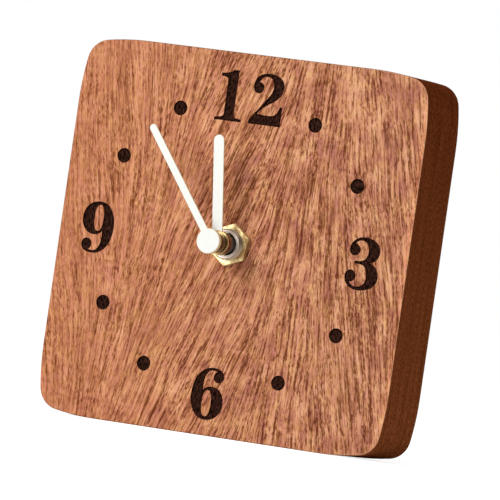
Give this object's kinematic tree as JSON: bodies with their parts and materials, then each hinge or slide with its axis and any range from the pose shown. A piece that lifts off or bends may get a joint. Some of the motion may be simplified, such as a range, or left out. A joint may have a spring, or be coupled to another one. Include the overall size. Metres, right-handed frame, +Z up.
{
  "type": "desk clock",
  "caption": "Small square wooden desk clock: engraved numerals and dots, white hands, brass nut, and a battery quartz movement with its gear train let into the back.",
  "frame": {"origin": "centre of the block's base, under the hand shaft and midway between front and back", "axes": "+Z up, +X to the right as one reads the dial, the dial faces -Y"},
  "size_m": [0.1, 0.0358, 0.1],
  "materials": {
    "wood": "satin",
    "polished_brass": "polished",
    "dark_brass": "satin",
    "nickel": "satin",
    "white_enamel": "satin",
    "black_rubber": "matte",
    "black_plastic": "satin",
    "grey_plastic": "satin",
    "white_plastic": "satin",
    "magnet": "satin",
    "soft_iron": "satin",
    "copper_wire": "satin",
    "board_green": "satin",
    "black_resin": "gloss",
    "cell_sleeve": "satin"
  },
  "bodies": {
    "case": {"case_block": "wood", "cushion_washer": "black_rubber", "hex_nut": "polished_brass", "threaded_bush": "nickel", "front_housing": "black_plastic", "gear_bridge": "grey_plastic", "rear_cover": "black_plastic", "circuit_board": "board_green", "driver_chip": "black_resin", "quartz_crystal": "nickel", "stator": "soft_iron", "coil_core": "soft_iron", "coil_bobbin": "grey_plastic", "coil_winding": "copper_wire", "battery_contact_positive": "nickel", "battery_contact_negative": "nickel"},
    "minute": {"minute_arbor": "dark_brass", "minute_hand_collet": "dark_brass", "minute_hand": "white_enamel", "cap_nut": "white_enamel"},
    "hour": {"hour_wheel": "black_plastic", "hour_hand_collet": "polished_brass", "hour_hand": "white_enamel"},
    "motion": {"motion_wheel": "white_plastic"},
    "setting": {"setting_stem": "white_plastic", "setting_knob": "black_plastic"},
    "rotor": {"rotor_pinion": "white_plastic", "rotor_magnet": "magnet"},
    "intermediate": {"intermediate_wheel": "white_plastic"},
    "seconds": {"seconds_wheel": "white_plastic"},
    "third": {"third_wheel": "white_plastic"},
    "centre": {"centre_wheel": "white_plastic"},
    "battery": {"battery": "cell_sleeve"}
  },
  "joints": [
    {"name": "minute_hand_turn", "type": "hinge", "parent": "case", "child": "minute", "pos_m": [0, 0, 0.05], "axis": [0, 1, 0], "continuous": true},
    {"name": "motion_wheel_turn", "type": "hinge", "parent": "case", "child": "motion", "pos_m": [0.00782, 0, 0.0479], "axis": [0, 1, 0], "continuous": true},
    {"name": "hour_hand_turn", "type": "hinge", "parent": "case", "child": "hour", "pos_m": [0, 0, 0.05], "axis": [0, 1, 0], "continuous": true},
    {"name": "setting_knob_turn", "type": "hinge", "parent": "case", "child": "setting", "pos_m": [0.0158, 0, 0.04931], "axis": [0, 1, 0], "continuous": true},
    {"name": "rotor_turn", "type": "hinge", "parent": "case", "child": "rotor", "pos_m": [0.00929, 0, 0.06222], "axis": [0, 1, 0], "continuous": true},
    {"name": "intermediate_wheel_turn", "type": "hinge", "parent": "case", "child": "intermediate", "pos_m": [0.004, 0, 0.05693], "axis": [0, 1, 0], "continuous": true},
    {"name": "seconds_wheel_turn", "type": "hinge", "parent": "case", "child": "seconds", "pos_m": [0, 0, 0.05], "axis": [0, 1, 0], "continuous": true},
    {"name": "third_wheel_turn", "type": "hinge", "parent": "case", "child": "third", "pos_m": [-0.00648, 0, 0.05374], "axis": [0, 1, 0], "continuous": true},
    {"name": "centre_wheel_turn", "type": "hinge", "parent": "case", "child": "centre", "pos_m": [0, 0, 0.05], "axis": [0, 1, 0], "continuous": true},
    {"name": "battery_slide", "type": "slide", "parent": "case", "child": "battery", "axis": [0, 1, 0], "range_m": [0, 0.018]}
  ],
  "couplings": [
    {"joint": "motion_wheel_turn", "follows": "minute_hand_turn", "ratio": -0.33333},
    {"joint": "hour_hand_turn", "follows": "minute_hand_turn", "ratio": 0.083333},
    {"joint": "setting_knob_turn", "follows": "minute_hand_turn", "ratio": 1},
    {"joint": "intermediate_wheel_turn", "follows": "rotor_turn", "ratio": -0.13333},
    {"joint": "seconds_wheel_turn", "follows": "rotor_turn", "ratio": 0.033333},
    {"joint": "third_wheel_turn", "follows": "rotor_turn", "ratio": -0.0044444},
    {"joint": "centre_wheel_turn", "follows": "rotor_turn", "ratio": 0.00055556}
  ]
}
